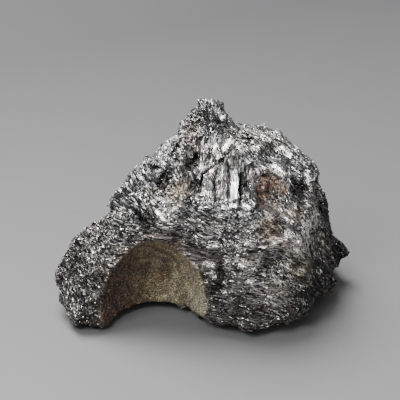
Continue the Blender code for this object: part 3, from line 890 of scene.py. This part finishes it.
@dataclass
class StoneSkin:
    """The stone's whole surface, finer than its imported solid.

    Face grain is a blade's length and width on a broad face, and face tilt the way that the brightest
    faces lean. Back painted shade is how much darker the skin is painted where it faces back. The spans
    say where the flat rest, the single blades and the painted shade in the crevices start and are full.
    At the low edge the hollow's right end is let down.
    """

    grid: float = 0.31
    smoothing: int = 7
    face_grain: Span = (5.0, 0.24)
    face_tilt: Point = (-0.6, 0.2, 1.8)
    back_painted_shade: float = 0.4
    rest_height: Span = (2.6, 1.2)
    blade_height: Span = (0.8, 1.6)
    crevice_shade_depth: Span = (-0.2, -0.7)
    hollow_relief: float = 0.12
    rim_cover: float = 0.55
    hollow: Hollow = Hollow()
    fabric: Fabric = Fabric()
    blades: tuple[Blades, ...] = (
        Blades(length=4.4, width=1.6, step=0.22, slope=0.24, seed=41),
        Blades(length=2.6, width=0.85, step=0.14, slope=0.15, seed=51),
        Blades(length=1.8, width=0.5, step=0.1, slope=0.11, seed=57),
    )
    marks: tuple[Mark, ...] = (*MARKS.values(), *(Mark(*flake, *FLAKE_SIZE) for flake in FLAKES))
    low_edge: Mark = Mark((-2.7, -12.9, 3.4), (0.75, -0.45, -0.5), 2.4, 1.4, -1.5, 1.0)
    stains: tuple[Stain, ...] = STAINS
    tone_and_light_patches: tuple[ToneAndLightPatch, ...] = tuple(ToneAndLightPatch(*row) for row in TONE_AND_LIGHT_PATCHES)

    def grow(self, node: Object) -> Object:
        """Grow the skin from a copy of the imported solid.

        Args:
            node: The stone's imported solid.

        Returns:
            The skin, with its relief and attributes.
        """
        mesh = node.data.copy()
        bm = bmesh.new()
        bm.from_mesh(mesh)
        bmesh.ops.remove_doubles(bm, verts=bm.verts, dist=1e-7)
        bm.to_mesh(mesh)
        bm.free()
        mesh.materials.clear()
        skin = new_object("stone_skin", mesh)
        even = skin.modifiers.new("even", "REMESH")
        even.mode = "VOXEL"
        even.voxel_size = self.grid * MM
        relax = skin.modifiers.new("relax", "SMOOTH")
        relax.iterations = self.smoothing
        relax.factor = 0.5
        plain_mesh(skin)
        self.shape(skin.data)
        return skin

    def shape(self, mesh: Mesh) -> None:
        """Break the skin into blades, and write what its finish and its crops read.

        Args:
            mesh: The skin's smooth mesh.
        """
        points = read(mesh.vertices, "co", 3) / MM
        normals = read(mesh.vertex_normals, "vector", 3)
        height = points[:, 2]
        hollow = self.hollow.mask(points, normals)
        resting = smooth_step(*self.rest_height, height) * smooth_step(-0.5, -0.9, normals[:, 2])
        broken = (1.0 - hollow) * (1.0 - resting)
        middles, axes, drawn = self.fabric.bundles(points)
        # The zones' shine: partly the crystal's own tone, partly painted light and shade.
        shine = self.fabric.read(middles, "shine") * (0.85 + 0.3 * drawn[:, 3])
        coarse = 0.7 + drawn[:, 2] ** 2
        length, width = (self.fabric.read(middles, name) * coarse for name in ("length", "width"))
        rise = sum(layer.rise(points, axes) for layer in self.blades)
        ragged = 2.0 * soft_noise(points / 0.7, 84) - 1.0
        even, turned, marked = np.zeros((3, len(points)))
        for mark in self.marks:
            share = mark.share(points, normals, ragged)
            marked = np.maximum(marked, share)
            if mark.is_face:
                even = np.maximum(even, share)
                turned = np.maximum(turned, share * min(0.5 * mark.shine, 1.0))
                rise *= 1.0 - 0.8 * share
                axes = self.combed(axes, mark.way, share)
            rise += mark.height * share
            # the marks' shine: painted shade in sunk forms, partly painted highlight on bright faces
            shine += (mark.shine - shine) * share
        # Painted shade: the skin is painted darker where it faces back, except on even crystal faces.
        shine *= 1.0 - self.back_painted_shade * smooth_step(-0.1, 0.5, normals[:, 1]) * (1.0 - even)
        wander = self.wander(points)
        # Painted light and shade, with some of the crystal's own tone, from the brighter and duller patches.
        for tone_light_patch in self.tone_and_light_patches:
            shine *= 1.0 + (tone_light_patch.shine - 1.0) * tone_light_patch.share(points, wander)
        length += (self.face_grain[0] - length) * even
        width += (self.face_grain[1] - width) * even
        rise *= broken
        rise += self.hollow_relief * hollow * (soft_noise(points / 0.8, 71) - 0.5)
        moved = points + normals * rise[:, None]
        moved[:, 2] += self.low_edge.height * self.low_edge.share(points, normals, ragged)
        moved[:, 2] = np.maximum(moved[:, 2], 0.0)
        mesh.vertices.foreach_set("co", (moved * MM).ravel())
        mesh.update()
        rim = smooth_step(*self.hollow.rim, np.abs(self.hollow.distance(points))) * (1.0 - hollow)
        rim *= self.rim_cover * (height > 1.0) * smooth_step(0.25, 0.6, soft_noise(points / 1.6, 83))
        tilt = self.fabric.read(middles, "tilt") + 0.15 * (2.0 * drawn[:, :3] - 1.0)
        tilt += (np.array(self.face_tilt) - tilt) * turned[:, None]
        open_ground = smooth_step(0.6, 0.95, broken) * smooth_step(*self.blade_height, height)
        corners = read(mesh.loops, "vertex_index", kind=int)
        counts = read(mesh.polygons, "loop_total", kind=int)
        first = np.repeat(corners[np.concatenate([[0], np.cumsum(counts)[:-1]])], counts)
        grain = np.stack([(moved[corners] * axis[first]).sum(1) for axis in axes], axis=1)
        write(
            mesh,
            hollow=hollow,
            crystal=open_ground * (1.0 - marked),
            # painted shade in the sunk places of the relief, read by the skin's finish
            crevice=smooth_step(*self.crevice_shade_depth, rise),
            even=even,
            out=normals,
            way=axes[0],
            blade_length=length,
            blade_width=width,
            shine=shine,
            tilt=tilt * broken[:, None],
            stain=self.stain_colours(moved, rim),
            grain=grain / np.stack([length[first], width[first], width[first]], axis=1),
            grain_mm=grain,
        )

    def combed(self, axes: list[Array], way: Point, share: Array) -> list[Array]:
        """Turn the blades to run along a broad face.

        Args:
            axes: The blades' own axes at each point, the first along them.
            way: The way that the face runs.
            share: How far to turn them, from 0 to 1.

        Returns:
            The turned axes.
        """
        turned = share[:, None] > 0.5
        along = np.where(turned, unit(np.array(way)), axes[0])
        across = np.where(turned, unit(np.cross(along, (0.0, 0.64, 0.77))), axes[1])
        return [along, across, np.where(turned, np.cross(along, across), axes[2])]

    def wander(self, points: Array) -> Array:
        """Give how far the edges of the patches wander at each point."""
        return 1.5 * (soft_noise(points / 2.2, 81) - 0.5) + 0.9 * (soft_noise(points / 0.9, 82) - 0.5)

    def stain_colours(self, points: Array, rim: Array) -> Array:
        """Give each point its strongest stain's colour, and how much that stain covers.

        Args:
            points: Places on the stone.
            rim: How much the tan rim of the hollow covers at each.

        Returns:
            A row of red, green, blue and cover for each point.
        """
        wander = self.wander(points)
        colours = np.zeros((len(points), 4))
        covers = [(stain.colour, stain.strength * stain.share(points, wander)) for stain in self.stains]
        for stain, cover in (*covers, (Stains.TAN, rim)):
            stronger = cover > colours[:, 3]
            colours[stronger, :3] = stain.value
            colours[stronger, 3] = cover[stronger]
        return colours


@dataclass
class BladeCrop:
    """A crop of single crystal blades that lie in the skin along its fabric.

    Scale is against the zone's own blades, lean is in degrees, and the top sizes are against the foot.
    Each blade's length, width and depth are drawn between the two numbers of lengths, widths and depths.
    """

    name: str
    per_square_mm: float
    scale: float
    lean: float
    seed: int
    top_length: float = 0.8
    top_width: float = 0.62
    lengths: Span = (0.5, 1.5)
    widths: Span = (0.6, 1.3)
    depths: Span = (0.5, 1.0)

    def blade_mesh(self) -> Mesh:
        """Make one blade, a unit long: a bar whose top face is smaller than its foot.

        Returns:
            The blade's mesh, which keeps the place on the blade.
        """
        bm = bmesh.new()
        bmesh.ops.create_cube(bm, size=1.0)
        for vertex in bm.verts:
            if vertex.co.z > 0:
                vertex.co.x *= self.top_length
                vertex.co.y *= self.top_width
        mesh = bpy.data.meshes.new(self.name + "_blade")
        bm.to_mesh(mesh)
        bm.free()
        write(mesh, blade_place=read(mesh.vertices, "co", 3))
        return mesh

    def tree(self, blade: Object, material: Material) -> NodeTree:
        """Build the Geometry Nodes that set the blades on the skin.

        Args:
            blade: The object that holds one blade.
            material: The blades' finish.

        Returns:
            The tree, with its sizes as inputs.
        """
        tree = bpy.data.node_groups.new(self.name, "GeometryNodeTree")
        names = ("Skin", "Per square metre", "Scale", "Lean", "Seed")
        for name, kind in zip(names, ("Geometry", "Float", "Float", "Float", "Int")):
            tree.interface.new_socket(name, in_out="INPUT", socket_type="NodeSocket" + kind)
        tree.interface.new_socket("Blades", in_out="OUTPUT", socket_type="NodeSocketGeometry")
        nodes = Nodes(tree)
        given = nodes.add("NodeGroupInput").outputs

        def named(name: str, data_type: str = "FLOAT") -> NodeSocket:
            """Read an attribute of the skin."""
            node = nodes.add("GeometryNodeInputNamedAttribute", {"Name": name}, data_type=data_type)
            return node.outputs["Attribute"]

        def drawn(low: float, high: float, extra: int) -> NodeSocket:
            """Draw a number for each blade, with its own seed."""
            inputs = {2: low, 3: high, "Seed": nodes.math("ADD", given["Seed"], float(extra))}
            return nodes.add("FunctionNodeRandomValue", inputs, data_type="FLOAT").outputs[1]

        density = nodes.times(given["Per square metre"], named("crystal"))
        spots = {"Mesh": given["Skin"], "Density": density, "Seed": given["Seed"]}
        scatter = nodes.add("GeometryNodeDistributePointsOnFaces", spots)
        out, way = (named(name, "FLOAT_VECTOR") for name in ("out", "way"))
        upright = nodes.add("FunctionNodeAlignRotationToVector", {"Vector": out}, axis="Z").outputs[0]
        aim = {"Rotation": upright, "Vector": way}
        along = nodes.add("FunctionNodeAlignRotationToVector", aim, axis="X", pivot_axis="Z").outputs[0]
        lean = nodes.math("RADIANS", given["Lean"])
        turning = nodes.join(
            nodes.times(lean, 1.6, drawn(-1.0, 1.0, 1)),
            nodes.times(lean, drawn(-1.0, 1.0, 2)),
            nodes.times(lean, drawn(-1.0, 1.0, 3)),
        )
        turn = {"Rotation": along, "Rotate By": turning}
        turned = nodes.add("FunctionNodeRotateRotation", turn, rotation_space="LOCAL").outputs[0]
        width = nodes.times(named("blade_width"), given["Scale"])
        size = nodes.join(
            nodes.times(named("blade_length"), given["Scale"], drawn(*self.lengths, 4)),
            nodes.times(width, drawn(*self.widths, 5)),
            nodes.times(width, drawn(*self.depths, 6)),
        )
        stand = {
            "Points": scatter.outputs["Points"],
            "Instance": nodes.add("GeometryNodeObjectInfo", {"Object": blade}).outputs["Geometry"],
            "Rotation": turned,
            "Scale": nodes.vector("SCALE", size, MM),
        }
        blades = nodes.add("GeometryNodeInstanceOnPoints", stand).outputs[0]
        tone = {"Geometry": blades, "Name": "tone", "Value": drawn(0.0, 1.0, 7)}
        toned = nodes.add("GeometryNodeStoreNamedAttribute", tone, data_type="FLOAT", domain="INSTANCE")
        real = nodes.add("GeometryNodeRealizeInstances", {0: toned.outputs[0]})
        dressed = nodes.add("GeometryNodeSetMaterial", {"Geometry": real.outputs[0], "Material": material})
        nodes.add("NodeGroupOutput", {0: dressed.outputs[0]})
        return tree

    def grow(self, skin: Object, material: Material) -> Object:
        """Grow the crop on the skin.

        Args:
            skin: The stone's skin.
            material: The blades' finish.

        Returns:
            The crop, as one plain mesh.
        """
        blade = new_object(self.name + "_blade", self.blade_mesh())
        crop = new_object(self.name, skin.data.copy())
        modifier = crop.modifiers.new("crop", "NODES")
        modifier.node_group = self.tree(blade, material)
        sizes = {
            "Per square metre": self.per_square_mm / MM**2,
            "Scale": self.scale,
            "Lean": self.lean,
            "Seed": self.seed,
        }
        for item in modifier.node_group.interface.items_tree:
            if item.in_out == "INPUT" and item.name in sizes:
                modifier[item.identifier] = sizes[item.name]
        plain_mesh(crop)
        points = read(crop.data.vertices, "co", 3)
        points[:, 2] = np.maximum(points[:, 2], 0.0)
        crop.data.vertices.foreach_set("co", points.ravel())
        bpy.data.objects.remove(blade)
        return crop


# ---- studio


@dataclass(frozen=True)
class SoftLight:
    """One soft square light, with its power in watts."""

    place: Point
    side: float
    power: float


@dataclass
class Studio:
    """Camera, floor and light."""

    target: Point = (-0.828, 3.437, 16.5)
    distance: float = 300.0
    elevation: float = 35.0
    lens: float = 135.0
    sensor: float = 36.0
    floor_side: float = 4000.0
    # floor_near to floor_far: painted light falloff across the floor
    floor_near: Colour = (0.152, 0.152, 0.155)
    floor_far: Colour = (0.05, 0.05, 0.052)
    floor_painted_falloff: Span = (-72.0, 110.0)
    floor_falloff_skew: float = 0.4
    floor_rough: float = 0.6
    sky: float = 0.45
    key: SoftLight = SoftLight((-200.0, -120.0, 360.0), 200.0, 1.6)
    top: SoftLight = SoftLight((-135.0, 225.0, 425.0), 260.0, 7.0)

    def build(self) -> None:
        """Set up the studio."""
        self.add_camera()
        self.add_floor()
        self.add_light("key", self.key)
        self.add_light("top", self.top)
        world = bpy.data.worlds.new("studio")
        world.use_nodes = True
        Nodes(world.node_tree).fill(world.node_tree.nodes["Background"], {"Color": (self.sky,) * 3})
        bpy.context.scene.world = world

    def add_camera(self) -> None:
        """Place the camera so that it looks down on the stone's front."""
        pitch = math.radians(self.elevation)
        back = Vector((0.0, -math.cos(pitch), math.sin(pitch)))
        data = bpy.data.cameras.new("camera")
        data.lens = self.lens
        data.sensor_width = self.sensor
        data.clip_start = 10 * MM
        camera = new_object("camera", data)
        camera.location = (Vector(self.target) + back * self.distance) * MM
        camera.rotation_euler = (-back).to_track_quat("-Z", "Y").to_euler()
        bpy.context.scene.camera = camera

    def add_floor(self) -> None:
        """Lay the plain floor, with painted shade that darkens it away from the camera and to the left."""
        bm = bmesh.new()
        bmesh.ops.create_grid(bm, x_segments=1, y_segments=1, size=self.floor_side * MM / 2)
        mesh = bpy.data.meshes.new("floor")
        bm.to_mesh(mesh)
        bm.free()
        material, nodes, shader = new_material("floor")
        x, y, _ = nodes.split(nodes.place())
        fade = tuple(edge * MM for edge in self.floor_painted_falloff)
        depth = nodes.math("SUBTRACT", y, nodes.times(x, self.floor_falloff_skew))
        colour = nodes.mix(nodes.range(depth, fade), self.floor_near, self.floor_far)
        nodes.fill(shader, {"Base Color": colour, "Roughness": self.floor_rough})
        mesh.materials.append(material)
        new_object("floor", mesh)

    def add_light(self, name: str, light: SoftLight) -> None:
        """Hang one light, turned to the stone.

        Args:
            name: The light's name.
            light: Its place, size and power.
        """
        data = bpy.data.lights.new(name, "AREA")
        data.size = light.side * MM
        data.energy = light.power
        lamp = new_object(name, data)
        lamp.location = Vector(light.place) * MM
        towards = Vector(self.target) - Vector(light.place)
        lamp.rotation_euler = towards.to_track_quat("-Z", "Y").to_euler()


def main() -> None:
    """Build the stone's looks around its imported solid."""
    logging.basicConfig(level=logging.INFO, format="%(name)s: %(message)s")
    for obj in list(bpy.data.objects):
        bpy.data.objects.remove(obj)
    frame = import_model()

    skin = StoneSkin().grow(frame["nodes"][STONE])
    crops = [
        BladeCrop("coarse_blades", per_square_mm=0.18, scale=0.75, lean=5.0, seed=5),
        BladeCrop("fine_blades", per_square_mm=0.75, scale=0.48, lean=9.0, seed=9),
    ]
    blade_material = BladeFinish().material()
    pieces = [skin] + [crop.grow(skin, blade_material) for crop in crops]
    skin.data.materials.append(SkinFinish().material())
    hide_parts(STONE)
    for piece in pieces:
        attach(piece, "root")
        mesh = piece.data
        log.info("%s: %d faces, %d vertices", piece.name, len(mesh.polygons), len(mesh.vertices))

    Studio().build()


if __name__ == "__main__":
    main()
